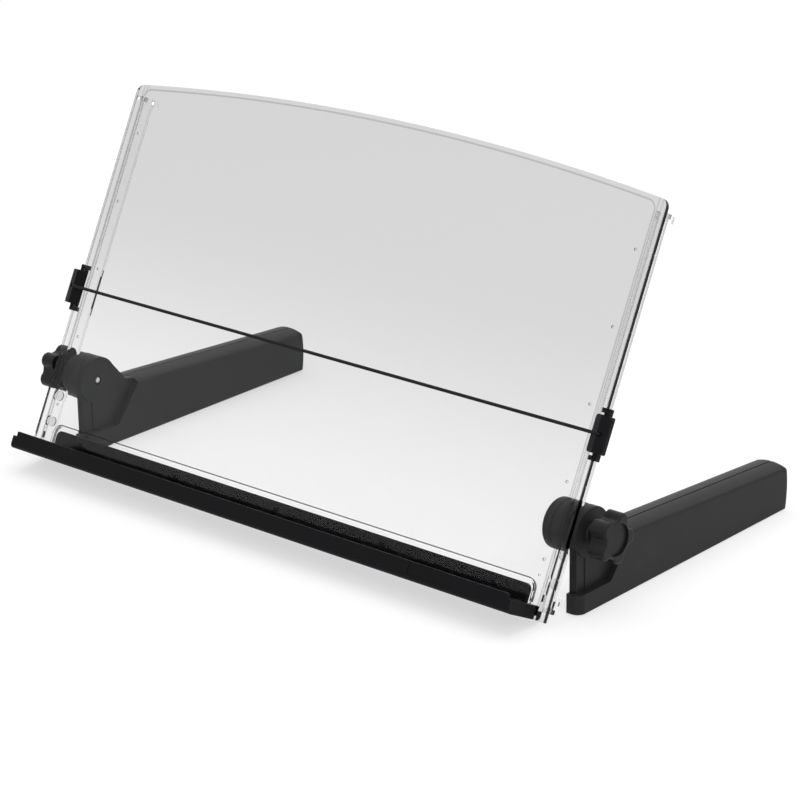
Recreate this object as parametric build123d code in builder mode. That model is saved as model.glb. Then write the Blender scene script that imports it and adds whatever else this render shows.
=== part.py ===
"""Copy holder with a line guide: a clear leaning platform on two clamped desk arms.

Frame: X runs to the right, Y away from the reader and Z up. The origin lies on the desk, midway
between the arms and straight below the pivot axis.
"""

import os
from math import cos, radians, sin, tan

from build123d import *

os.makedirs("parts", exist_ok=True)

# ---------------------------------------------------------------- driving sizes, in mm
slip = 0.05  # play on each side of a part that slides or is dropped in
gap = 0.1  # air between the faces of two parts that turn or slide past each other

lean = 63  # platform to desk
pivot_height = 50  # pivot axis above the desk
pivot_up = 61  # pivot axis above the underside of the ledge, along the platform
pivot_back = 21  # pivot axis behind the front face of the platform

board_w = 457
board_h = 280.8  # underside of the ledge to the top of the arch
board_t = 3
arch_rise = 13.4
board_corner = 6

rail_t = 3
rail_edge = 4.7  # board edge to the outer face of the rail: the track of the line guide
rail_depth = 10  # behind the board
rail_low = 6
rail_high = 260
stop_t = 4.5
stop_low = 11.5  # lower face of the lower stop
stop_back = 19  # tip of the stops behind the front face of the board
web_t = 3  # block that closes the track beside each end of the rail
web_depth = 5.5

pivot_d = 6
head_r = 16.5  # head of the arm and the discs clamped with it

# directions along the platform, and square out of its front face
up = Vector(0, cos(radians(lean)), sin(radians(lean)))
out = Vector(0, -sin(radians(lean)), cos(radians(lean)))
axis_mid = Vector(0, 0, pivot_height)
foot = axis_mid - up * pivot_up + out * pivot_back
board = Plane(origin=foot, x_dir=(1, 0, 0), z_dir=out)
# section across the platform: x out of the front face, y up the slope
section = Plane(origin=foot, x_dir=out, z_dir=(-1, 0, 0))

board_x = board_w / 2
rail_out = board_x - rail_edge
rail_in = rail_out - rail_t
rail_back = board_t + rail_depth

# ---------------------------------------------------------------- ledge sizes
ledge_play = 0.4  # between each end of the ledge and the rail beside it
ledge_front = 28
ledge_back = 8
ledge_t = 8.5
ledge_round = 3
lip_in = 3.4  # end of the lip inside the end of the ledge
lip_t = 2.5
lip_top = 12
lip_round = 0.8
sill = 2.6  # bottom edge of the board above the underside of the ledge
flange_in = 10.6  # end of the back flange inside the end of the ledge
flange_top = 20
flange_t = 2.7
flange_corner = 4
rivet_d = 3
rivet_head_d = 6
rivet_head_t = 1.2
rivet_count = 5
rivet_pitch = 92
rivet_up = 14.5

ledge_w = 2 * (rail_in - ledge_play)
lip_w = ledge_w - 2 * lip_in
flange_w = ledge_w - 2 * flange_in

rim_space = 2.6  # clear rib that frames the back flange
rim_t = 1.2
rim_depth = 2.4

# ---------------------------------------------------------------- platform
dot_count = 5
dot_pitch = 49.2
dot_low = 37
dot_x = 215.6
dot_r = 1
dot_deep = 0.6
mark_r = 0.8
mark_up = 27
border_in = 3
border_t = 0.7
border_deep = 0.4
notch_play = 0.2  # between the board and each end of the ledge

side_top = board_h - arch_rise
dot_mid = dot_low + dot_pitch * (dot_count - 1) / 2
notch_w = ledge_w + 2 * notch_play


def board_outline(inset, mode=Mode.ADD):
    """Face of the board, arched along the top, drawn inset from its real edge."""
    side = board_x - inset
    top = side_top - inset
    with BuildLine() as edge:
        Polyline((-side, top), (-side, inset), (side, inset), (side, top))
        ThreePointArc((side, top), (0, board_h - inset), (-side, top))
    make_face(edge.edges(), mode=mode)


with BuildPart() as platform:
    with BuildSketch(board):
        board_outline(0)
        fillet(vertices().group_by(Axis.Y)[-1], board_corner)
        with Locations((0, sill / 2)):
            Rectangle(notch_w, sill, mode=Mode.SUBTRACT)
    extrude(amount=-board_t)
    # thin rib behind the board around the flange of the ledge
    rim_x = flange_w / 2 + rim_space + rim_t
    rim_top = flange_top + rim_space + rim_t
    with BuildSketch(board.offset(-board_t)):
        with Locations((0, rim_top / 2)):
            Rectangle(2 * rim_x, rim_top)
        fillet(vertices().group_by(Axis.Y)[-1], flange_corner + rim_space)
        offset(amount=-rim_t, mode=Mode.SUBTRACT)
        with Locations((0, (ledge_t + rim_t) / 2)):
            Rectangle(2 * rim_x, ledge_t + rim_t, mode=Mode.SUBTRACT)
    extrude(amount=-rim_depth)
    # shallow line just inside the arched edge
    with BuildSketch(board):
        board_outline(border_in)
        board_outline(border_in + border_t, mode=Mode.SUBTRACT)
        with Locations((0, board_h)):
            Rectangle(2 * (dot_x + dot_r), 2 * (arch_rise + board_corner), mode=Mode.INTERSECT)
    extrude(amount=-border_deep, mode=Mode.SUBTRACT)
    # dimples that help to set the line level on both sides
    with BuildSketch(board):
        with Locations((0, dot_mid)):
            with GridLocations(2 * dot_x, dot_pitch, 2, dot_count):
                Circle(dot_r)
        with Locations((-dot_x, mark_up), (dot_x, mark_up)):
            Circle(mark_r)
    extrude(amount=-dot_deep, mode=Mode.SUBTRACT)
    with BuildSketch(board):
        with Locations((0, rivet_up)):
            with GridLocations(rivet_pitch, 1, rivet_count, 1):
                Circle(rivet_d / 2 + slip)
    extrude(amount=-board_t, mode=Mode.SUBTRACT)

platform.part.label = "platform"
export_step(platform.part, "parts/platform.step")

# ---------------------------------------------------------------- rails
pad_r = 3.6
pad_ups = (24.2, 42.8)
pad_deep = 0.8
glue = 0.05  # clear film between bonded faces

rail_mid = (rail_in + rail_out) / 2
rail_middle = (rail_low + rail_high) / 2
rail_long = rail_high - rail_low

for name, side in (("left", -1), ("right", 1)):
    # straight strip bonded behind the board, with round recesses in its outer face
    with BuildPart() as platform_rail:
        with BuildSketch(board.offset(-board_t - glue)):
            with Locations((side * rail_mid, rail_middle)):
                Rectangle(rail_t, rail_long)
        extrude(amount=glue - rail_depth)
        with BuildSketch(section.offset(-side * rail_out)):
            with Locations(*[(-(board_t + rail_depth / 2), v) for v in pad_ups]):
                Circle(pad_r)
        extrude(amount=side * pad_deep, mode=Mode.SUBTRACT)
    platform_rail.part.label = "platform_rail_" + name
    export_step(platform_rail.part, "parts/platform_rail_" + name + ".step")

    # two stops bonded behind the rail for the clamp, and two webs in the track for the line guide
    with BuildPart() as rail_ends:
        with BuildSketch(board.offset(-rail_back - glue)):
            with Locations(*[(side * rail_mid, v + stop_t / 2) for v in (stop_low, rail_high - stop_t)]):
                Rectangle(rail_t, stop_t)
        extrude(amount=rail_back + glue - stop_back)
        with BuildSketch(board.offset(-board_t - glue)):
            with Locations((side * (rail_out + glue + board_x) / 2, rail_middle)):
                with GridLocations(1, rail_long - web_t, 1, 2):
                    Rectangle(rail_edge - glue, web_t)
        extrude(amount=glue - web_depth)
    rail_ends.part.label = "rail_ends_" + name
    export_step(rail_ends.part, "parts/rail_ends_" + name + ".step")

# ---------------------------------------------------------------- ledge
strip_w = 404
strip_t = 1
strip_out = 12
strip_mid = 14
strip_sunk = 0.7
label_w = 36
label_h = 8
label_x = 157
label_deep = 0.3

with BuildPart() as ledge:
    with BuildSketch(section):
        with Locations(((ledge_front - ledge_back) / 2, ledge_t / 2)):
            Rectangle(ledge_front + ledge_back, ledge_t)
        fillet(vertices().group_by(Axis.Y)[0], ledge_round)
    extrude(amount=ledge_w / 2, both=True)
    with BuildSketch(section):
        with Locations((ledge_front - lip_t / 2, (ledge_round + lip_top) / 2)):
            Rectangle(lip_t, lip_top - ledge_round)
        fillet(vertices().group_by(Axis.Y)[-1], lip_round)
    extrude(amount=lip_w / 2, both=True)
    with BuildSketch(board.offset(-board_t - slip)):
        with Locations((0, (ledge_round + flange_top) / 2)):
            Rectangle(flange_w, flange_top - ledge_round)
        fillet(vertices().group_by(Axis.Y)[-1], flange_corner)
    extrude(amount=-flange_t)
    # slot that takes the bottom edge of the board
    with BuildSketch(section):
        with Locations((-board_t / 2, (sill - slip + ledge_t) / 2)):
            Rectangle(board_t + 2 * slip, ledge_t - sill + slip)
    extrude(amount=ledge_w / 2, both=True, mode=Mode.SUBTRACT)
    # seat of the grip strip, and a plain recess in the lip
    with BuildSketch(section):
        with Locations((strip_mid, ledge_t - strip_sunk / 2)):
            Rectangle(strip_out + 2 * slip, strip_sunk)
    extrude(amount=strip_w / 2 + slip, both=True, mode=Mode.SUBTRACT)
    with BuildSketch(board.offset(ledge_front)):
        with Locations((label_x, (ledge_round + lip_top) / 2)):
            Rectangle(label_w, label_h)
    extrude(amount=-label_deep, mode=Mode.SUBTRACT)
    with BuildSketch(board.offset(-board_t)):
        with Locations((0, rivet_up)):
            with GridLocations(rivet_pitch, 1, rivet_count, 1):
                Circle(rivet_d / 2 + slip)
    extrude(amount=-flange_t - slip, mode=Mode.SUBTRACT)

ledge.part.label = "ledge"
export_step(ledge.part, "parts/ledge.step")

with BuildPart() as ledge_grip_strip:
    with BuildSketch(section):
        with Locations((strip_mid, ledge_t - strip_sunk + strip_t / 2)):
            Rectangle(strip_out, strip_t)
    extrude(amount=strip_w / 2, both=True)

ledge_grip_strip.part.label = "ledge_grip_strip"
export_step(ledge_grip_strip.part, "parts/ledge_grip_strip.step")

# rivets: the head bears on the back of the flange and the shank ends flush with the board
rivet_seat = board_t + slip + flange_t
with BuildPart() as ledge_rivets:
    with BuildSketch(board):
        with Locations((0, rivet_up)):
            with GridLocations(rivet_pitch, 1, rivet_count, 1):
                Circle(rivet_d / 2)
    extrude(amount=-rivet_seat)
    with BuildSketch(board.offset(-rivet_seat)):
        with Locations((0, rivet_up)):
            with GridLocations(rivet_pitch, 1, rivet_count, 1):
                Circle(rivet_head_d / 2)
    extrude(amount=-rivet_head_t)

ledge_rivets.part.label = "ledge_rivets"
export_step(ledge_rivets.part, "parts/ledge_rivets.step")

# ---------------------------------------------------------------- line guide
guide_up = 119.3  # middle of the clips above the underside of the ledge
clip_flap = 24
clip_plate = 33  # spring plate behind the board
clip_plate_t = 1.1
clip_plate_in = 2.2  # in from the edge of the board, between its two tabs
clip_tab = 3
clip_reach = 5.1  # flap over the front of the board, in from its edge
clip_out = 7.2  # block outboard of the board edge
clip_ridge_out = 1.1
clip_high = 4.6
clip_thin = 1.3
clip_side_high = 2.4
clip_side_t = 3
clip_round = 1.4
clip_corner = 2.2
line_r = 1.1
line_front = 4.9  # middle of the line in front of the board
line_hole_r = 1.45
line_hole_out = 3
line_bend = 1.5
knot_r = 2.1
knot_mid = -1.6  # middle of the knot, against the front face of the board

guide = Plane(origin=foot + up * guide_up, x_dir=(1, 0, 0), z_dir=-up)
clip_rear = board_t + slip + clip_plate_t
hole_x = board_x + line_hole_out

for name, side in (("left", -1), ("right", 1)):
    edge = side * (board_x + slip)
    lip_x = side * (board_x - clip_reach)
    far_x = side * (board_x + clip_out)
    with BuildPart() as clip:
        # flap, ridge and outer block in one section, hooked round the edge of the board
        with BuildSketch(guide):
            with BuildLine():
                Polyline(
                    (lip_x, slip),
                    (lip_x, clip_thin),
                    (side * (board_x + clip_ridge_out), clip_high),
                    (far_x, clip_side_high),
                    (far_x, -clip_side_high),
                    (side * (board_x + clip_side_t), -clip_rear),
                    (edge, -clip_rear),
                    (edge, slip),
                    close=True,
                )
            make_face()
            fillet(vertices().filter_by_position(Axis.X, far_x - slip, far_x + slip), clip_round)
        extrude(amount=clip_flap / 2, both=True)
        # corners rounded as seen from the front
        with BuildSketch(board.offset(clip_high)):
            with Locations((side * (board_x + (clip_out - clip_reach) / 2), guide_up)):
                RectangleRounded(clip_out + clip_reach, clip_flap, clip_corner)
        extrude(amount=-clip_high - clip_rear, mode=Mode.INTERSECT)
        # longer spring plate behind the board, with the side wall that carries it
        with BuildSketch(guide):
            with BuildLine():
                Polyline(
                    (side * (board_x - clip_plate_in), -board_t - slip),
                    (edge, -board_t - slip),
                    (edge, slip),
                    (side * (board_x + clip_side_t), slip),
                    (side * (board_x + clip_side_t), -clip_rear),
                    (side * (board_x - clip_plate_in), -clip_rear),
                    close=True,
                )
            make_face()
        extrude(amount=clip_plate / 2, both=True)
        # tab at each end of the spring plate, running in the track beside the rail
        with BuildSketch(board.offset(-board_t - slip)):
            with Locations((side * (rail_out + gap + board_x) / 2, guide_up)):
                with GridLocations(1, clip_plate - clip_tab, 1, 2):
                    Rectangle(rail_edge - gap, clip_tab)
        extrude(amount=-clip_plate_t)
        # hole through the block, the seat of the knot, and the groove that leads the line in
        with BuildSketch(board.offset(line_front)):
            with Locations((side * hole_x, guide_up)):
                Circle(line_hole_r)
        extrude(amount=-line_front - clip_rear, mode=Mode.SUBTRACT)
        with BuildSketch(board.offset(knot_mid + knot_r)):
            with Locations((side * hole_x, guide_up)):
                Circle(knot_r + slip)
        extrude(amount=-knot_mid - knot_r - clip_rear, mode=Mode.SUBTRACT)
        with BuildSketch(section.offset(-side * hole_x)):
            with Locations((line_front, guide_up)):
                Circle(line_r + gap)
        extrude(amount=side * (hole_x - board_x + clip_reach), mode=Mode.SUBTRACT)
    clip.part.label = "guide_clip_" + name
    export_step(clip.part, "parts/guide_clip_" + name + ".step")

# one elastic line: over both flaps, down through both blocks and into a knot behind each
line_tail = knot_mid - knot_r
with BuildPart() as guide_line:
    with BuildLine(guide) as route:
        FilletPolyline(
            (-hole_x, line_tail),
            (-hole_x, line_front),
            (hole_x, line_front),
            (hole_x, line_tail),
            radius=line_bend,
        )
    with BuildSketch(Plane(origin=route.line @ 0, z_dir=route.line % 0)):
        Circle(line_r)
    sweep(path=route.line)

guide_line.part.label = "guide_line"
export_step(guide_line.part, "parts/guide_line.step")

for name, side in (("left", -1), ("right", 1)):
    with BuildPart() as guide_knot:
        with Locations(Plane(origin=board.from_local_coords((side * hole_x, guide_up, knot_mid)), z_dir=out)):
            Sphere(knot_r - slip)
        with BuildSketch(board.offset(line_tail)):
            with Locations((side * hole_x, guide_up)):
                Circle(line_r + slip)
        extrude(amount=2 * knot_r, mode=Mode.SUBTRACT)
    guide_knot.part.label = "guide_knot_" + name
    export_step(guide_knot.part, "parts/guide_knot_" + name + ".step")

# ---------------------------------------------------------------- clamp stacks
jaw_t = 3
jaw_r = 14
cap_t = 7
barrel_t = 10.5
pad_t = 1
pad_in = 0.2  # grip pad inside the rim of the barrel
key_long = 32
washer_t = 1.8
washer_r = 7
plate_t = 6  # head plate of an arm

bore_r = pivot_d / 2 + slip
key_front = pivot_back - rail_back - gap
key_reach = rail_t - 2 * gap

# the right arm stands outside its rail, the left one inside: both have the same hand
plate_right = rail_out + gap
barrel_left_end = rail_in - gap - barrel_t
plate_left = -(barrel_left_end - gap)
plate_left_far = plate_left + plate_t

pivot_side = Plane(origin=axis_mid, x_dir=out, z_dir=(-1, 0, 0))


def disc(x_from, x_to, radius, mode=Mode.ADD):
    """Round slice of the clamp stack between two places on the pivot axis."""
    with Locations(Plane(origin=axis_mid + Vector(min(x_from, x_to), 0, 0), z_dir=(1, 0, 0))):
        Cylinder(radius, abs(x_to - x_from), align=(Align.CENTER, Align.CENTER, Align.MIN), mode=mode)


barrel_round = 0.8
for name, side in (("left", -1), ("right", 1)):
    face = rail_in - gap
    with BuildPart() as clamp_barrel:
        disc(side * (face - barrel_t), side * (face - pad_t), head_r - gap)
        fillet(clamp_barrel.edges().group_by(Axis.X)[0 if side > 0 else -1], barrel_round)
        # key that runs behind the rail and keeps the clamp square to it
        with BuildSketch(pivot_side.offset(-side * (face - pad_t))):
            Rectangle(2 * key_front, key_long)
            Circle(head_r - gap, mode=Mode.INTERSECT)
        extrude(amount=-side * (pad_t + gap + key_reach))
        disc(side * (face - barrel_t), side * (rail_out + gap), bore_r, mode=Mode.SUBTRACT)
    clamp_barrel.part.label = "clamp_barrel_" + name
    export_step(clamp_barrel.part, "parts/clamp_barrel_" + name + ".step")

    # pad on the part of the barrel that lies against the rail, in front of the key
    with BuildPart() as grip_pad:
        with BuildSketch(pivot_side.offset(-side * (face - pad_t))):
            Circle(head_r - gap - pad_in)
            with Locations((key_front + gap, 0)):
                Rectangle(head_r, 2 * head_r, align=(Align.MIN, Align.CENTER), mode=Mode.INTERSECT)
        extrude(amount=-side * pad_t)
    grip_pad.part.label = "grip_pad_" + name
    export_step(grip_pad.part, "parts/grip_pad_" + name + ".step")

with BuildPart() as clamp_jaw_left:
    disc(-(rail_out + gap), -(rail_out + gap + jaw_t), jaw_r)
    fillet(clamp_jaw_left.edges().group_by(Axis.X)[0], barrel_round)
    disc(-(rail_out + gap), -(rail_out + gap + jaw_t), bore_r, mode=Mode.SUBTRACT)

clamp_jaw_left.part.label = "clamp_jaw_left"
export_step(clamp_jaw_left.part, "parts/clamp_jaw_left.step")

cap_far = rail_in - gap - barrel_t - gap
bolt_head_r = 5.5
bolt_head_t = 4
bolt_sunk = 0.6
cap_round = 2.5
cap_near = cap_far - cap_t
bolt_seat = cap_near + bolt_sunk + bolt_head_t
with BuildPart() as end_cap_right:
    disc(cap_near, cap_far, head_r)
    fillet(end_cap_right.edges().group_by(Axis.X)[0], cap_round)
    disc(cap_near, cap_far, bore_r, mode=Mode.SUBTRACT)
    disc(cap_near, bolt_seat + slip, bolt_head_r + slip, mode=Mode.SUBTRACT)

end_cap_right.part.label = "end_cap_right"
export_step(end_cap_right.part, "parts/end_cap_right.step")

# ---------------------------------------------------------------- knobs
knob_r = 16.8
knob_lobes = 5
knob_angle = 18  # first lobe, from straight out of the platform
knob_core_r = 12.4
lobe_r = 5.4
lobe_blend = 3
knob_t = 11.5
knob_round = 1.6
hub_r = 6.4
dish_r = 10.5
dish_deep = 1.6
hub_left = 8.2
hub_right = 6.2
insert_r = 4.8
insert_t = 10
insert_floor = 3  # plastic left between the insert and the dish

knob_start = {
    "left": rail_out + gap + jaw_t + gap + washer_t + gap,
    "right": plate_right + plate_t + gap + washer_t + gap,
}
hub_len = {"left": hub_left, "right": hub_right}
bolt_tip = {}
for name, side in (("left", -1), ("right", 1)):
    base = knob_start[name]
    lobes_from = base + hub_len[name]
    knob_end = lobes_from + knob_t
    insert_end = knob_end - dish_deep - insert_floor
    bolt_tip[name] = insert_end - slip
    with BuildPart() as knob:
        with BuildSketch(pivot_side.offset(-side * lobes_from)):
            Circle(knob_core_r)
            with PolarLocations(knob_r - lobe_r, knob_lobes, start_angle=knob_angle):
                Circle(lobe_r)
            fillet(vertices(), lobe_blend)
        extrude(amount=-side * knob_t)
        fillet(knob.edges().group_by(Axis.X)[-1 if side > 0 else 0], knob_round)
        disc(side * base, side * lobes_from, hub_r)
        disc(side * (knob_end - dish_deep), side * knob_end, dish_r, mode=Mode.SUBTRACT)
        disc(side * base, side * insert_end, insert_r + slip, mode=Mode.SUBTRACT)
    knob.part.label = "knob_" + name
    export_step(knob.part, "parts/knob_" + name + ".step")

    with BuildPart() as knob_insert:
        disc(side * (insert_end - insert_t), side * insert_end, insert_r)
        disc(side * (insert_end - insert_t), side * insert_end, bore_r, mode=Mode.SUBTRACT)
    knob_insert.part.label = "knob_insert_" + name
    export_step(knob_insert.part, "parts/knob_insert_" + name + ".step")

    with BuildPart() as hub_washer:
        disc(side * (base - gap - washer_t), side * (base - gap), washer_r)
        disc(side * (base - gap - washer_t), side * (base - gap), bore_r, mode=Mode.SUBTRACT)
    hub_washer.part.label = "hub_washer_" + name
    export_step(hub_washer.part, "parts/hub_washer_" + name + ".step")

# ---------------------------------------------------------------- pivot bolts
pip_r = 1.8
pip_t = 1.4
ring_r = 3.4
ring_deep = 1
bolt_cover = 1.6  # plate left over the end of the left bolt

with BuildPart() as pivot_bolt_left:
    disc(-bolt_tip["left"], plate_left_far - bolt_cover, pivot_d / 2)
    disc(plate_left_far - bolt_cover, plate_left_far - bolt_cover + pip_t, pip_r)

pivot_bolt_left.part.label = "pivot_bolt_left"
export_step(pivot_bolt_left.part, "parts/pivot_bolt_left.step")

with BuildPart() as pivot_bolt_right:
    disc(cap_near + bolt_sunk, bolt_seat, bolt_head_r)
    disc(cap_near + bolt_sunk, bolt_tip["right"], pivot_d / 2)

pivot_bolt_right.part.label = "pivot_bolt_right"
export_step(pivot_bolt_right.part, "parts/pivot_bolt_right.step")

# ---------------------------------------------------------------- arms
arm_near = 15  # body on the clamp's side of the head plate
arm_far = 4  # body on the open side of the head plate
arm_wall = 2.2
arm_rear = 205
rear_bulge = 1.5
arm_low = 0.8  # shell above the desk; the feet reach down to it
seam_top = 44.8  # seam along the top, above the desk at the pivot
seam_fall = 0.064
groove_w = 0.9  # shadow groove along the seam
groove_deep = 0.9
crown_r = 31
crown_round = 2.5
roof = 4.6  # cavity below the seam, thick enough under the rounded edges
clear_front = 27  # the clamp's side of the body starts behind the turning key
cavity_front = 40
toe_front = -18
toe_round = 6
toe_top = 13.6
pocket_foot = 14
pocket_brow = 34.5
pocket_high = 39
neck_front = -15
neck_rear = 48
brow_lean = 50  # edge from the head down to the body, against the desk
shelf = 1.2  # neck below the seam where it runs into the body
boss_high = 0.6  # head disc proud of the neck on the open side
strip_in = 0.8
strip_across = 8
strip_high = 37.4
strip_cut = 0.5
foot_mid = 0
foot_span = 186  # between the middles of the two feet
foot_long = 24
foot_wide = 7
foot_round = 1
foot_sunk = 0.8
screw_places = ((60, 22), (125, 19), (190, 16))
screw_d = 3
screw_head_d = 5.6
screw_head_t = 1.8
screw_sunk = 0.8
screw_bite = 7  # thread in the shell's boss
screw_boss_d = 7.6

half_w = (arm_near + plate_t + arm_far) / 2
brow_y = head_r * sin(radians(brow_lean))
brow_z = pivot_height + head_r * cos(radians(brow_lean))
brow_fall = tan(radians(brow_lean))
shelf_z = seam_top - shelf
brow_foot = brow_y + (brow_z - shelf_z) / brow_fall


def seam_height(y):
    """Top of the body on its middle plane."""
    return seam_top - seam_fall * y


def body_outline(front, wall=0, above=0):
    """Side of the body behind a front place, in Y and Z, kept inside its real outline."""
    back = arm_rear - wall
    low = arm_low + wall
    with BuildLine() as edge:
        Polyline(
            (back, low),
            (front, low),
            (front, seam_height(front) - above),
            (back, seam_height(back) - above),
        )
        ThreePointArc(
            (back, seam_height(back) - above),
            (back + rear_bulge, (seam_height(back) - above + low) / 2),
            (back, low),
        )
    make_face(edge.edges())


def crown_cut(middle):
    """Takes away what lies above the crowned top, outside its rounded edges and in its groove."""
    run = Plane(origin=(middle, 0, seam_top), x_dir=(1, 0, 0), z_dir=(0, -1, seam_fall))
    drop = crown_r - (crown_r**2 - half_w**2) ** 0.5
    with BuildSketch(run) as above:
        with BuildLine() as edge:
            ThreePointArc((half_w, -drop), (0, 0), (-half_w, -drop))
            Polyline(
                (-half_w, -drop),
                (-half_w, -2 * head_r),
                (-2 * half_w, -2 * head_r),
                (-2 * half_w, 2 * head_r),
                (2 * half_w, 2 * head_r),
                (2 * half_w, -2 * head_r),
                (half_w, -2 * head_r),
                (half_w, -drop),
            )
        make_face(edge.edges())
        fillet(above.vertices().filter_by_position(Axis.Y, -drop - slip, -drop + slip), crown_round)
        Rectangle(groove_w, 2 * groove_deep)
    extrude(above.sketch, amount=2 * arm_rear, both=True, mode=Mode.SUBTRACT)


def along_x(x_from, length, radius, mode=Mode.ADD):
    """Round bosses or holes on all three screw places, from one place along X."""
    for y, z in screw_places:
        with Locations(Plane(origin=(x_from, y, z), z_dir=(1, 0, 0))):
            Cylinder(radius, length, align=(Align.CENTER, Align.CENTER, Align.MIN), mode=mode)


for name, plate_x in (("left", plate_left), ("right", plate_right)):
    near = plate_x - arm_near
    plate_far = plate_x + plate_t
    far = plate_far + arm_far
    seam = near + half_w

    # cover: the half on the clamp's side, held by three screws from its outer face
    with BuildPart() as arm_cover:
        with BuildSketch(Plane.YZ.offset(near)):
            body_outline(clear_front)
        extrude(amount=half_w)
        crown_cut(seam)
        with BuildSketch(Plane.YZ.offset(near + arm_wall)):
            body_outline(clear_front + arm_wall, arm_wall, roof)
        extrude(amount=half_w, mode=Mode.SUBTRACT)
        along_x(near, half_w, screw_boss_d / 2)
        along_x(near, half_w, screw_d / 2 + slip, Mode.SUBTRACT)
        along_x(near, screw_sunk + screw_head_t, screw_head_d / 2 + slip, Mode.SUBTRACT)
    arm_cover.part.label = "arm_cover_" + name
    export_step(arm_cover.part, "parts/arm_cover_" + name + ".step")

    # shell: the other half with the toe, the neck and the head plate
    with BuildPart() as arm_shell:
        with BuildSketch(Plane.YZ.offset(seam)):
            body_outline(clear_front)
        extrude(amount=plate_x - seam)
        with BuildSketch(Plane.YZ.offset(plate_x)):
            body_outline(neck_rear)
            with BuildLine():
                Polyline(
                    (toe_front, arm_low),
                    (toe_front, toe_top),
                    (pocket_foot, toe_top),
                    (pocket_brow, pocket_high),
                    (pocket_brow, seam_height(pocket_brow)),
                    (neck_rear, seam_height(neck_rear)),
                    (neck_rear, arm_low),
                    close=True,
                )
            make_face()
        extrude(amount=plate_t + arm_far)
        fillet(arm_shell.edges().filter_by(Axis.Z).group_by(Axis.Y)[0].sort_by(Axis.X)[-1], toe_round)
        crown_cut(seam)
        with BuildSketch(Plane.YZ.offset(seam)):
            body_outline(cavity_front, arm_wall, roof)
        extrude(amount=half_w - arm_wall, mode=Mode.SUBTRACT)
        with BuildSketch(Plane.YZ.offset(plate_x)):
            with BuildLine():
                Polyline(
                    (neck_front, arm_low),
                    (neck_front, pivot_height),
                    (brow_y, brow_z),
                    (brow_foot, shelf_z),
                    (cavity_front, seam_height(cavity_front) - shelf - slip),
                    (cavity_front, arm_low),
                    close=True,
                )
            make_face()
        extrude(amount=plate_t - boss_high)
        disc(plate_x, plate_far, head_r)
        # shallow strip down the front of the neck
        with BuildSketch(Plane.YZ.offset(plate_far - boss_high)):
            with Locations((neck_front + strip_in + strip_across / 2, toe_top)):
                SlotCenterPoint((0, 0), (0, strip_high - toe_top - strip_across / 2), strip_across)
            with Locations((neck_front + strip_in + strip_across / 2, 0)):
                Rectangle(strip_across, 2 * toe_top, mode=Mode.SUBTRACT)
        extrude(amount=-strip_cut, mode=Mode.SUBTRACT)
        along_x(seam, far - seam, screw_boss_d / 2)
        along_x(seam, screw_bite, screw_d / 2 + slip, Mode.SUBTRACT)
        with BuildSketch(Plane.XY.offset(arm_low)):
            with Locations((plate_x + (plate_t + arm_far) / 2, foot_mid + foot_span / 2)):
                with GridLocations(1, foot_span, 1, 2):
                    Rectangle(foot_wide + 2 * slip, foot_long + 2 * slip)
        extrude(amount=foot_sunk, mode=Mode.SUBTRACT)
        if name == "right":
            disc(plate_x, plate_far, bore_r, Mode.SUBTRACT)
        else:
            disc(plate_x, plate_far - bolt_cover, bore_r, Mode.SUBTRACT)
            disc(plate_x, plate_far, pip_r + slip, Mode.SUBTRACT)
            disc(plate_far - ring_deep, plate_far, ring_r, Mode.SUBTRACT)
    arm_shell.part.label = "arm_shell_" + name
    export_step(arm_shell.part, "parts/arm_shell_" + name + ".step")

    with BuildPart() as arm_screws:
        along_x(near + screw_sunk, screw_head_t, screw_head_d / 2)
        along_x(near + screw_sunk, seam - near - screw_sunk + screw_bite - slip, screw_d / 2)
    arm_screws.part.label = "arm_screws_" + name
    export_step(arm_screws.part, "parts/arm_screws_" + name + ".step")

    with BuildPart() as arm_feet:
        with BuildSketch():
            with Locations((plate_x + (plate_t + arm_far) / 2, foot_mid + foot_span / 2)):
                with GridLocations(1, foot_span, 1, 2):
                    Rectangle(foot_wide, foot_long)
            fillet(vertices(), foot_round)
        extrude(amount=arm_low + foot_sunk)
    arm_feet.part.label = "arm_feet_" + name
    export_step(arm_feet.part, "parts/arm_feet_" + name + ".step")
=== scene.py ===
import bpy
import numpy as np
from mathutils import Matrix, Vector


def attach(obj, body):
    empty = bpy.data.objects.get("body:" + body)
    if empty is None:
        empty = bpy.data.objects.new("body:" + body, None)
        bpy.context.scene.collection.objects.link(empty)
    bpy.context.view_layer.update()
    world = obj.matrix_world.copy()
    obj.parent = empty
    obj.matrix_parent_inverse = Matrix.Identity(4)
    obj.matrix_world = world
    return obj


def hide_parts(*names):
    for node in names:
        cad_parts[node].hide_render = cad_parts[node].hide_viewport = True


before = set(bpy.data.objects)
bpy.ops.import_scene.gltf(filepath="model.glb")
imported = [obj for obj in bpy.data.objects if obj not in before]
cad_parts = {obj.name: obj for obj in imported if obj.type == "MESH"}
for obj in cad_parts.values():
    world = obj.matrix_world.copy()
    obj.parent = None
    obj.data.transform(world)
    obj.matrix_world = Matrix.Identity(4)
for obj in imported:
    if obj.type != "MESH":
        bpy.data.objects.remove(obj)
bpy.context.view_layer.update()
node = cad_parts

# ---------------------------------------------------------------- camera
# A long lens from the front right and a little above, turned a shade clockwise, as the
# photograph was taken. It looks at a point above the desk between the arms.
turn, rise, roll = np.radians([41.199, 20.404, -0.899])
distance, look_at = 1.9362, np.array([0.07529, 0.0, 0.10031])
sensor_width, focal_pixels, picture_pixels = 36, 3040.8, 800
ahead = np.array([-np.sin(turn) * np.cos(rise), np.cos(turn) * np.cos(rise), -np.sin(rise)])
level = np.array([np.cos(turn), np.sin(turn), 0.0])
above = np.cross(level, ahead)
side = np.cos(roll) * level + np.sin(roll) * above
top = -np.sin(roll) * level + np.cos(roll) * above

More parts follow.
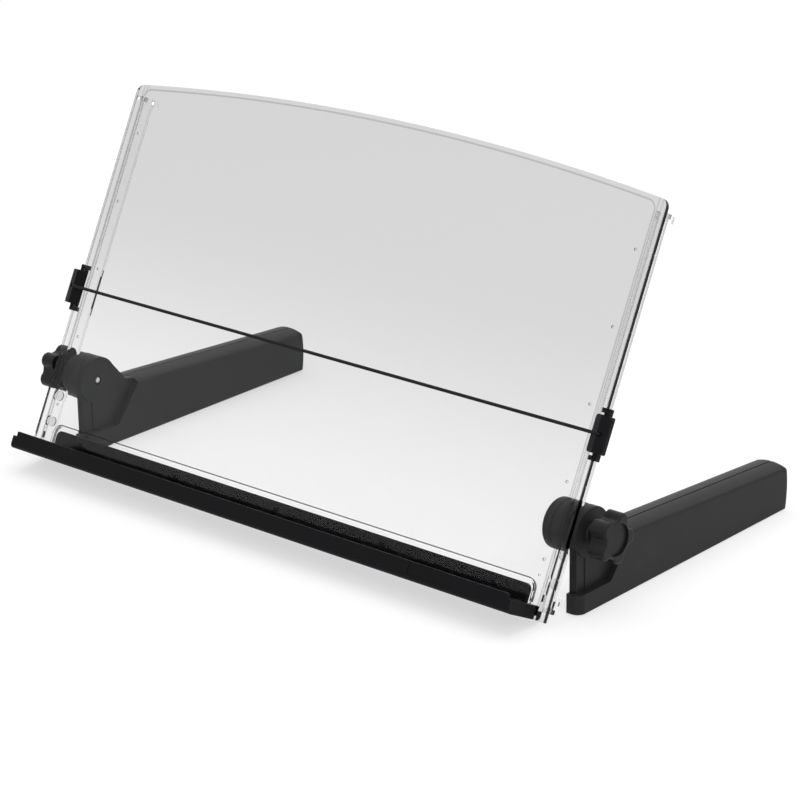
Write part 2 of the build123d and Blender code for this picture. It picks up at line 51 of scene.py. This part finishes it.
lens = bpy.data.cameras.new("camera")
lens.sensor_width = sensor_width
lens.lens = sensor_width * focal_pixels / picture_pixels
lens.clip_start, lens.clip_end = 0.1, 50
camera = bpy.data.objects.new("camera", lens)
bpy.context.collection.objects.link(camera)
camera.matrix_world = Matrix(
    [[*row, spot] for row, spot in zip(np.stack([side, top, -ahead], 1), look_at - ahead * distance)]
    + [[0, 0, 0, 1]]
)
bpy.context.scene.camera = camera


# ---------------------------------------------------------------- elastic line
# A black round elastic, braided of fine yarn and held taut between the clips. It runs over
# each clip's flap, down through the clip's block and into its knot.
class Wire:
    """A shader socket. Arithmetic on it adds Math nodes, and node() adds any other node."""

    def __init__(self, tree, socket=None):
        self.tree, self.socket = tree, socket

    def node(self, kind, inputs=(), settings=(), output=0):
        made = self.tree.nodes.new("ShaderNode" + kind)
        for key, value in dict(settings).items():
            setattr(made, key, value)
        for key, value in dict(inputs).items():
            if isinstance(value, Wire):
                self.tree.links.new(value.socket, made.inputs[key])
            else:
                made.inputs[key].default_value = value
        return Wire(self.tree, made.outputs[output])

    def math(self, operation, *values):
        return self.node("Math", enumerate(values), {"operation": operation})

    def __abs__(self):
        return self.math("ABSOLUTE", self)

    def __add__(self, other):
        return self.math("ADD", self, other)

    def __radd__(self, other):
        return self.math("ADD", other, self)

    def __sub__(self, other):
        return self.math("SUBTRACT", self, other)

    def __rsub__(self, other):
        return self.math("SUBTRACT", other, self)

    def __mul__(self, other):
        return self.math("MULTIPLY", self, other)

    def within(self, low, high):
        """0 at low and under, 1 at high and over, and smooth between."""
        steps = {"Value": self, "From Min": low, "From Max": high}
        return self.node("MapRange", steps, {"interpolation_type": "SMOOTHSTEP"})

    def along(self, direction):
        """How far the point lies along a direction."""
        return self.node("VectorMath", {0: self, 1: direction}, {"operation": "DOT_PRODUCT"}, "Value")

    def noise(self, size, detail=2, stretch=None):
        """Soft random values from 0 to 1, with blobs of about that size in metres."""
        place = self
        if stretch:
            place = self.node("VectorMath", {0: self, 1: stretch}, {"operation": "MULTIPLY"})
        return self.node("TexNoise", {"Vector": place, "Scale": 1 / size, "Detail": detail})

    def shade(self, dark, light):
        """A colour between two, by this value."""
        return self.node("Mix", {0: self, 6: (*dark, 1), 7: (*light, 1)}, {"data_type": "RGBA"}, 2)

    def bump(self, height):
        """A normal pushed by this value, which stands for that height in metres."""
        return self.node("Bump", {"Height": self, "Distance": height, "Strength": 1.0})


def fresh_finish(name):
    """A new material with its Principled shader and the place of each point on the object."""
    made = bpy.data.materials.new(name)
    made.use_nodes = True
    tree = made.node_tree
    place = Wire(tree).node("TexCoord", output="Object")
    return made, tree.nodes["Principled BSDF"], place


def feed(shader, **values):
    """Sets or links sockets of a shader, with spaces in their names written as underscores."""
    for key, value in values.items():
        socket = shader.inputs[key.replace("_", " ")]
        if isinstance(value, Wire):
            value.tree.links.new(value.socket, socket)
        else:
            socket.default_value = value


def mix_in(finish, shader, other, share):
    """Mixes another shader into a material's own one, by a share from 0 to 1."""
    tree = finish.node_tree
    mixed = tree.nodes.new("ShaderNodeMixShader")
    tree.links.new(share.socket, mixed.inputs[0])
    tree.links.new(shader.outputs[0], mixed.inputs[1])
    tree.links.new(other.socket, mixed.inputs[2])
    tree.links.new(mixed.outputs[0], tree.nodes["Material Output"].inputs["Surface"])


def wear(finish, *pieces):
    """Gives the named CAD nodes one material in place of the ones they came with."""
    for piece in pieces:
        mesh = node[piece].data
        mesh.materials.clear()
        mesh.materials.append(finish)


# The board's own directions, and the middle of its lower front edge.
lean = np.radians(63)
up = np.array([0, np.cos(lean), np.sin(lean)])
out = np.array([0, -np.sin(lean), np.cos(lean)])
pivot_height, pivot_up, pivot_behind = 0.050, 0.061, 0.021
pivot = np.array([0, 0, pivot_height])
foot = pivot - pivot_up * up + pivot_behind * out

line_radius, line_hole, line_up, line_front, line_tail = 0.0011, 0.2315, 0.1193, 0.0049, -0.0037
line_turn, braid_pitch, braid_yarns = 0.0066, 0.0032, 4
route = np.array(
    [
        (-line_hole, line_tail),
        (-line_hole, line_front),
        (-line_hole + line_turn, line_front),
        (-line_hole + 2 * line_turn, line_front),
        (line_hole - 2 * line_turn, line_front),
        (line_hole - line_turn, line_front),
        (line_hole, line_front),
        (line_hole, line_tail),
    ]
)
points = foot + line_up * up + route[:, :1] * [1, 0, 0] + route[:, 1:] * out
curve = bpy.data.curves.new("elastic_line", "CURVE")
curve.dimensions = "3D"
curve.bevel_depth = line_radius
curve.bevel_resolution = 6
curve.resolution_u = 12
curve.use_fill_caps = True
spline = curve.splines.new("NURBS")
spline.points.add(len(points) - 1)
spline.points.foreach_set("co", np.c_[points, np.ones(len(points))].ravel())
spline.order_u = 3
spline.use_endpoint_u = True
line = bpy.data.objects.new("elastic_line", curve)
bpy.context.collection.objects.link(line)

braid, shader, place = fresh_finish("black braided elastic")
section_up = place.along(tuple(up)) - float((foot + line_up * up) @ up)
section_out = place.along(tuple(out)) - float((foot + line_front * out) @ out)
around = place.math("ARCTAN2", section_up, section_out)
length_turns = place.along((1, 0, 0)) * (2 * np.pi / braid_pitch)
left_yarn = place.math("SINE", length_turns + around * braid_yarns)
right_yarn = place.math("SINE", length_turns - around * braid_yarns)
weave = place.math("MAXIMUM", left_yarn, right_yarn)
fuzz = place.noise(0.0004)
feed(
    shader,
    Base_Color=(weave * 0.3 + fuzz * 0.5).shade((0.003, 0.003, 0.004), (0.016, 0.016, 0.018)),
    Roughness=fuzz * 0.2 + 0.62,
    Specular_IOR_Level=0.2,
    Normal=(weave + fuzz).bump(0.00012),
)
curve.materials.append(braid)
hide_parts("guide_line")
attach(line, "line_guide_left")

# ---------------------------------------------------------------- stop knots
# The line's ends are tied off in small hard knots that sit in the backs of the clips. They
# are pulled tight, so only their wound yarn shows.
knotted, shader, place = fresh_finish("black pulled knot")
yarn_scale, yarn_tangle = 900.0, 2.0
winding = {"Vector": place, "Scale": yarn_scale, "Distortion": yarn_tangle}
yarn = place.node("TexWave", winding, {"bands_direction": "DIAGONAL"})
feed(
    shader,
    Base_Color=yarn.shade((0.008, 0.008, 0.009), (0.03, 0.03, 0.032)),
    Roughness=yarn * 0.15 + 0.6,
    Normal=yarn.bump(0.00015),
)
wear(knotted, "guide_knot_left", "guide_knot_right")

# ---------------------------------------------------------------- platform
# A clear board with an arched top, bonded rails, stops and webs, all of moulded acrylic with a
# light grey tint, which painted shade deepens towards the top. Painted shade also draws thin dark
# lines along its sides, the corners of the rails, the border line, the rib round the ledge's
# flange, the dimples and the recesses.
side_edge, side_width, arch_radius, arch_centre = 0.2285, 0.001, 1.9549, -1.6741
border_in, border_corner, border_width = 0.0033, 0.006, 0.0011
rail_inner, rail_outer, rail_front, rail_back, rail_width = 0.2208, 0.2238, -0.003, -0.013, 0.0012
rib_side, rib_top, rib_corner, rib_width = 0.2136, 0.0238, 0.0066, 0.0009
dimple_across, dimple_low, dimple_pitch, dimple_wall, dimple_width = 0.2156, 0.037, 0.0492, 0.0008, 0.0005
recess_low, recess_pitch, recess_radius, recess_floor = 0.0242, 0.0186, 0.0036, 0.2230
recess_end, recess_stop = 0.049, 0.05
board_middle, board_front = -0.0015, -0.001
film_back, film_front = -0.00304, -0.00301
tint_low, painted_shade_more, painted_shade_height, tint_and_shade_off_rails = 0.11, 0.24, 0.2, 0.85
blur = 0.0001


def rounded(side_gap, top_gap, corner):
    """How far a point lies inside an outline with a round corner, from how far it lies inside
    its side and its top: the corner's radius less the distance from the corner's centre."""
    past_side = side_gap.math("MAXIMUM", corner - side_gap, 0.0)
    past_top = side_gap.math("MAXIMUM", corner - top_gap, 0.0)
    return corner - side_gap.math("SQRT", past_side * past_side + past_top * past_top)


def thin_line(away, width):
    """1 within half the width of a line, from the distance to the line."""
    return 1.0 - abs(away).within(width / 2, width / 2 + blur)


clear, shader, place = fresh_finish("clear moulded acrylic")
across = place.along((1, 0, 0))
from_middle = abs(across)
board_up = place.along(tuple(up)) - float(foot @ up)
depth = place.along(tuple(out)) - float(foot @ out)
front = depth.within(board_middle, board_front)
behind = 1.0 - depth.within(film_back, film_front)
# Painted shade: the grey tint grows darker towards the top, and the rails behind the board get only a
# little of tint and shade.
tint_and_painted_shade = board_up.within(0.0, painted_shade_height) * painted_shade_more + tint_low
tint_and_painted_shade = tint_and_painted_shade * (1.0 - behind * tint_and_shade_off_rails)

to_centre = board_up - arch_centre
to_arch = arch_radius - place.math("SQRT", across * across + to_centre * to_centre)
# Painted shade: masks of thin dark lines drawn into the base colour where the board's edges and features
# darken it by refraction.
border = thin_line(rounded(rail_inner - from_middle, to_arch - border_in, border_corner), border_width)
rib = thin_line(rounded(rib_side - from_middle, rib_top - board_up, rib_corner), rib_width)
sides = thin_line(side_edge - from_middle, side_width)
flank = abs(abs(from_middle - (rail_inner + rail_outer) / 2) - (rail_outer - rail_inner) / 2)
face = abs(abs(depth - (rail_front + rail_back) / 2) - (rail_front - rail_back) / 2)
corners = thin_line(place.math("MAXIMUM", flank, face), rail_width)
pitch_off = place.math("PINGPONG", board_up - dimple_low, dimple_pitch / 2)
dimple_off = from_middle - dimple_across
dimple_away = place.math("SQRT", dimple_off * dimple_off + pitch_off * pitch_off)
dimples = thin_line(dimple_away - dimple_wall, dimple_width)
recess_off = place.math("PINGPONG", board_up - recess_low, recess_pitch / 2)
recess_in = depth - (rail_front + rail_back) / 2
recess_away = place.math("SQRT", recess_off * recess_off + recess_in * recess_in)
recess = thin_line(recess_away, 2 * recess_radius) * from_middle.within(recess_floor - blur, recess_floor)
recess = recess * (1.0 - board_up.within(recess_end, recess_stop))

# Each painted shade line with its darkness. Where lines cross, the darkest one shows.
painted_shade_marks = [
    front * dimples * 0.5,
    recess * 0.4,
    front * border * 0.45,
    (1.0 - front) * rib * 0.95,
    sides * 0.65,
    corners * 0.3,
]
painted_edge_shade = painted_shade_marks[0]
for shade_mark in painted_shade_marks[1:]:
    painted_edge_shade = place.math("MAXIMUM", painted_edge_shade, shade_mark)
# The base colour is the grey tint with painted shade: darker towards the top, and darker again along the
# painted lines.
feed(
    shader,
    Base_Color=((1.0 - tint_and_painted_shade) * (1.0 - painted_edge_shade)).shade((0, 0, 0), (1, 1, 1)),
    Roughness=0.0,
    IOR=1.33,
    Specular_Tint=(0.3, 0.3, 0.3, 1),
    Transmission_Weight=1.0,
)
see_through = place.node("BsdfTransparent", {"Color": (0.8, 0.8, 0.8, 1)})
lamp_ray = place.node("LightPath", output="Is Shadow Ray")
mix_in(clear, shader, see_through, lamp_ray)
wear(clear, "platform", "platform_rail_left", "platform_rail_right", "rail_ends_left", "rail_ends_right")


# ---------------------------------------------------------------- ledge and clips
# Black injection-moulded ledge and clips with a fine satin texture that the mould leaves.
# Soft patches of them are a little shinier, as if paper and fingers had rubbed them.
def moulded(name, dark, light, rough, grain, height, gloss):
    """Moulded plastic: two close shades in soft clouds, fine grain in the bump, and rubbed
    patches where the roughness drops."""
    made, shader, place = fresh_finish(name)
    cloud = place.noise(0.035, 3)
    fine = place.noise(grain, 2)
    rubbed = place.noise(0.012, 4).within(0.55, 0.75)
    feed(
        shader,
        Base_Color=(cloud * 0.7 + fine * 0.3).shade(dark, light),
        Roughness=rough + cloud * 0.08 - rubbed * 0.06,
        Normal=fine.bump(height),
        Specular_IOR_Level=gloss,
    )
    return made


satin_black = moulded(
    "satin black plastic",
    dark=(0.004, 0.004, 0.005),
    light=(0.007, 0.007, 0.008),
    rough=0.34,
    grain=0.0006,
    height=0.00001,
    gloss=0.07,
)
wear(satin_black, "ledge", "ledge_rivets", "guide_clip_left", "guide_clip_right")

# ---------------------------------------------------------------- grip strip
# A soft dark strip let into the floor of the ledge so that sheets don't slide. It is pressed
# from foamed rubber with a dull, slightly dusty skin.
strip, shader, place = fresh_finish("soft grip strip")
pore_scale = 1400.0
pores = place.node("TexVoronoi", {"Vector": place, "Scale": pore_scale})
film = place.noise(0.02, 4)
feed(
    shader,
    Base_Color=(film * 0.6 + pores * 0.4).shade((0.012, 0.012, 0.013), (0.03, 0.03, 0.031)),
    Roughness=film * 0.1 + 0.72,
    Normal=pores.bump(0.00005),
)
wear(strip, "ledge_grip_strip")

# ---------------------------------------------------------------- arms
# Each arm is a pair of charcoal shells screwed together, with a head plate that carries the
# pivot. The arms and the clamps' parts have an even, fine spark-eroded texture and little shine.
charcoal = moulded(
    "charcoal plastic",
    dark=(0.016, 0.016, 0.017),
    light=(0.023, 0.023, 0.025),
    rough=0.42,
    grain=0.0007,
    height=0.00001,
    gloss=0.14,
)
wear(
    charcoal,
    "arm_shell_left",
    "arm_shell_right",
    "arm_cover_left",
    "arm_cover_right",
    "clamp_barrel_left",
    "clamp_barrel_right",
    "clamp_jaw_left",
    "end_cap_right",
)

# ---------------------------------------------------------------- knobs
# Five-lobed black knobs moulded round their inserts, glossier than the arms from being
# gripped, with a dished outer face.
knob_black = moulded(
    "knob plastic",
    dark=(0.009, 0.009, 0.01),
    light=(0.014, 0.014, 0.015),
    rough=0.34,
    grain=0.0005,
    height=0.00001,
    gloss=0.15,
)
wear(knob_black, "knob_left", "knob_right")

# ---------------------------------------------------------------- nylon washers
# Thin dark nylon washers under the knobs, punched from sheet and slightly waxy.
nylon = moulded(
    "dark nylon",
    dark=(0.02, 0.02, 0.02),
    light=(0.035, 0.035, 0.034),
    rough=0.4,
    grain=0.0009,
    height=0.00001,
    gloss=0.3,
)
wear(nylon, "hub_washer_left", "hub_washer_right")

# ---------------------------------------------------------------- rubber feet and pads
# Black rubber: the feet under the arms and the pads that grip the rails. Dull and slightly
# grey where it has picked up dust.
rubber = moulded(
    "black rubber",
    dark=(0.012, 0.012, 0.012),
    light=(0.028, 0.028, 0.028),
    rough=0.74,
    grain=0.0012,
    height=0.00004,
    gloss=0.2,
)
wear(rubber, "arm_feet_left", "arm_feet_right", "grip_pad_left", "grip_pad_right")


# ---------------------------------------------------------------- bolts and screws
# Turned and zinc-plated steel with fine rings from the lathe and duller spots in the plating.
# The brass inserts of the knobs are turned the same way.
def turned(name, dark, light):
    """Turned metal: fine rings round the X axis in the bump, and cloudy roughness."""
    made, shader, place = fresh_finish(name)
    spots = place.noise(0.002, 3)
    rings = place.noise(0.0003, 1, (1, 0.05, 0.05))
    feed(
        shader,
        Base_Color=spots.shade(dark, light),
        Metallic=1.0,
        Roughness=spots * 0.15 + 0.2,
        Normal=rings.bump(0.00001),
    )
    return made


wear(
    turned("zinc plated steel", (0.5, 0.51, 0.52), (0.7, 0.71, 0.72)),
    "pivot_bolt_left",
    "pivot_bolt_right",
    "arm_screws_left",
    "arm_screws_right",
)
wear(turned("turned brass", (0.55, 0.4, 0.18), (0.7, 0.54, 0.28)), "knob_insert_left", "knob_insert_right")

# ---------------------------------------------------------------- floor and light
# A pale studio floor that fades into a white backdrop, and large soft lamps above and beside
# the holder. Floor and backdrop show white to the eye, and the floor keeps the soft shadow.
def seen_ray(tree):
    """1 on rays that show the backdrop: straight from the camera, in a mirror or through glass."""
    straight = Wire(tree).node("LightPath", output="Is Camera Ray")
    outputs = straight.socket.node.outputs
    mirrored = straight.math("MAXIMUM", straight, Wire(tree, outputs["Is Glossy Ray"]))
    return straight.math("MAXIMUM", mirrored, Wire(tree, outputs["Is Transmission Ray"]))


floor_reach, fade_from, fade_to = 6, 0.6, 2.5
near_glow, room_light = 0.6, 0.65
floor_corners = [(x * floor_reach, y * floor_reach, 0) for x, y in [(-1, -1), (1, -1), (1, 1), (-1, 1)]]
floor_mesh = bpy.data.meshes.new("floor")
floor_mesh.from_pydata(floor_corners, [], [(0, 1, 2, 3)])
floor = bpy.data.objects.new("floor", floor_mesh)
bpy.context.collection.objects.link(floor)
pale, shader, place = fresh_finish("pale studio floor")
seen = seen_ray(pale.node_tree)
feed(
    shader,
    Base_Color=(seen * 0.2 + place.noise(0.4, 2) * 0.02).shade((0.8, 0.8, 0.8), (1.8, 1.8, 1.8)),
    Roughness=0.9,
    Specular_IOR_Level=0.0,
)
distance_out = place.node("VectorMath", {0: place}, {"operation": "LENGTH"}, "Value")
far_off = distance_out.within(fade_from, fade_to)
mix_in(pale, shader, place.node("Emission"), seen * (far_off * (1 - near_glow) + near_glow))
floor_mesh.materials.append(pale)

world = bpy.data.worlds.new("studio")
bpy.context.scene.world = world
world.use_nodes = True
tree = world.node_tree
sky = tree.nodes["Background"]
sky.inputs["Color"].default_value = (1, 1, 1, 1)
strength = seen_ray(tree) * (1 - room_light) + room_light
tree.links.new(strength.socket, sky.inputs["Strength"])


def lamp(name, place, target, size, power):
    """A square soft lamp that faces a target."""
    light = bpy.data.lights.new(name, "AREA")
    light.size, light.energy = size, power
    made = bpy.data.objects.new(name, light)
    bpy.context.collection.objects.link(made)
    made.location = place
    made.rotation_euler = (Vector(target) - Vector(place)).to_track_quat("-Z", "Y").to_euler()


lamp("overhead", place=(0.0, 0.5, 2.6), target=(0, 0.3, 0), size=3.0, power=40)
lamp("front right", place=(1.5, -1.3, 1.5), target=(0.1, 0, 0.1), size=1.0, power=8)

bpy.context.scene.view_settings.view_transform = "Standard"
